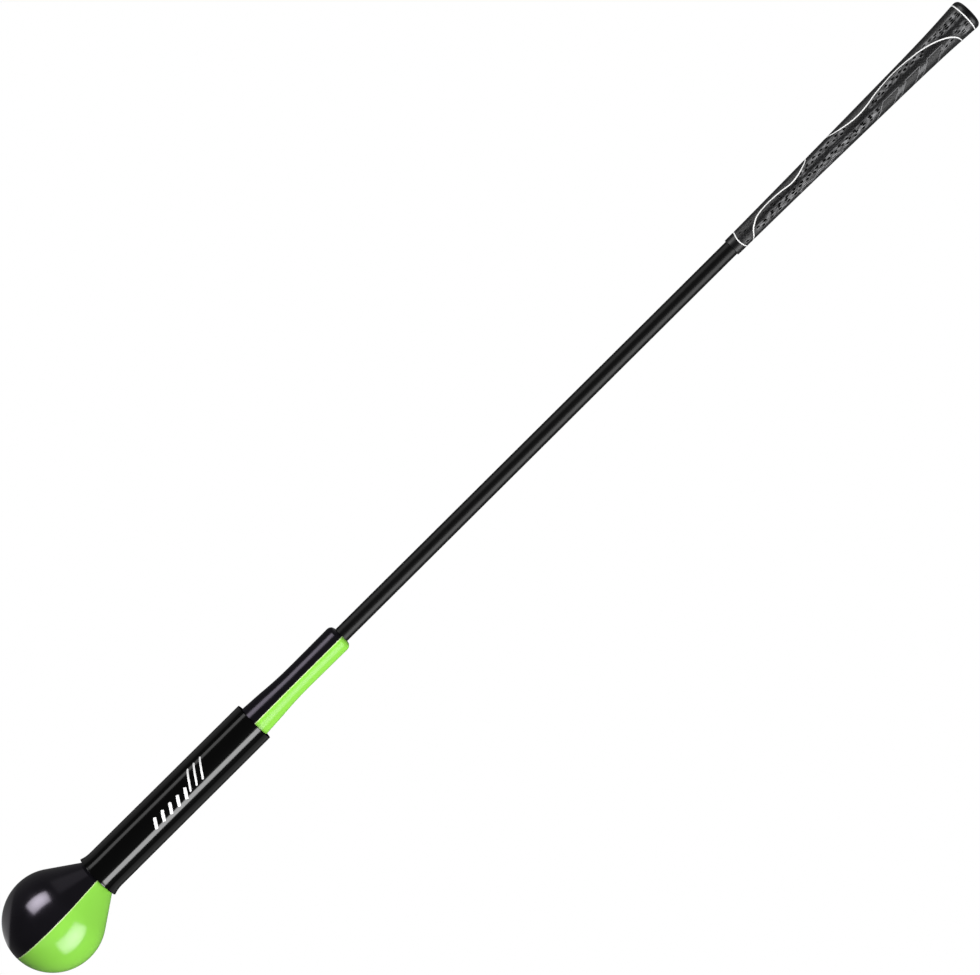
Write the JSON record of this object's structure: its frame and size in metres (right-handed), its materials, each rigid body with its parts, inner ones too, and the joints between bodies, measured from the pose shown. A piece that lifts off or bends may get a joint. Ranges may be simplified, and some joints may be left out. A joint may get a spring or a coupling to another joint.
{
  "type": "swing trainer stick",
  "caption": "Golf swing trainer stick: tapered rubber grip on a long whippy rod, with a weighted two-colour bulb and a black neck sleeve at the far end.",
  "frame": {"origin": "on the stick's axis, in the middle of the hands' hold on the grip, 125 mm below the butt end", "axes": "+Z along the stick from the bulb to the butt end of the grip; +X out of the green half of the head, -X out of the black half; the parting plane is x = 0"},
  "size_m": [0.0785, 0.0786, 1.016],
  "materials": {
    "grip_rubber": "moulded cloth-pattern rubber with fine perforations",
    "cap_rubber": "smooth satin rubber",
    "tape": "double-sided crepe tape",
    "shaft_paint": "black painted glassfibre rod",
    "weight_iron": "as cast",
    "pin_steel": "ground",
    "shell_black": "glossy moulded black",
    "shell_green": "glossy moulded lime green",
    "screw_steel": "zinc plated",
    "sleeve_rubber": "smooth satin rubber"
  },
  "bodies": {
    "grip": {"grip_body": "grip_rubber", "grip_end_cap": "cap_rubber", "grip_tape": "tape", "shaft_butt_section": "shaft_paint"},
    "shaft_upper": {"shaft_upper_section": "shaft_paint"},
    "shaft_middle": {"shaft_middle_section": "shaft_paint"},
    "shaft_lower": {"shaft_lower_section": "shaft_paint"},
    "head": {"shaft_tip_section": "shaft_paint", "swing_weight": "weight_iron", "weight_pin": "pin_steel", "head_shell_black": "shell_black", "head_shell_green": "shell_green", "neck_screws": "screw_steel", "neck_sleeve": "sleeve_rubber"}
  },
  "joints": [
    {"name": "shaft_flex", "type": "hinge", "parent": "grip", "child": "shaft_upper", "pos_m": [0, 0, -0.18051], "axis": [0, 1, 0], "range_deg": [-7, 7], "stiffness_Nm_per_rad": 1210},
    {"name": "shaft_flex_upper", "type": "hinge", "parent": "shaft_upper", "child": "shaft_middle", "pos_m": [0, 0, -0.28454], "axis": [0, 1, 0], "range_deg": [-5.96, 5.96]},
    {"name": "shaft_flex_middle", "type": "hinge", "parent": "shaft_middle", "child": "shaft_lower", "pos_m": [0, 0, -0.38856], "axis": [0, 1, 0], "range_deg": [-4.88, 4.88]},
    {"name": "shaft_flex_lower", "type": "hinge", "parent": "shaft_lower", "child": "head", "pos_m": [0, 0, -0.49259], "axis": [0, 1, 0], "range_deg": [-3.79, 3.79]}
  ],
  "couplings": [
    {"joint": "shaft_flex_upper", "follows": "shaft_flex", "ratio": 0.8449},
    {"joint": "shaft_flex_middle", "follows": "shaft_flex", "ratio": 0.6897},
    {"joint": "shaft_flex_lower", "follows": "shaft_flex", "ratio": 0.5346}
  ]
}
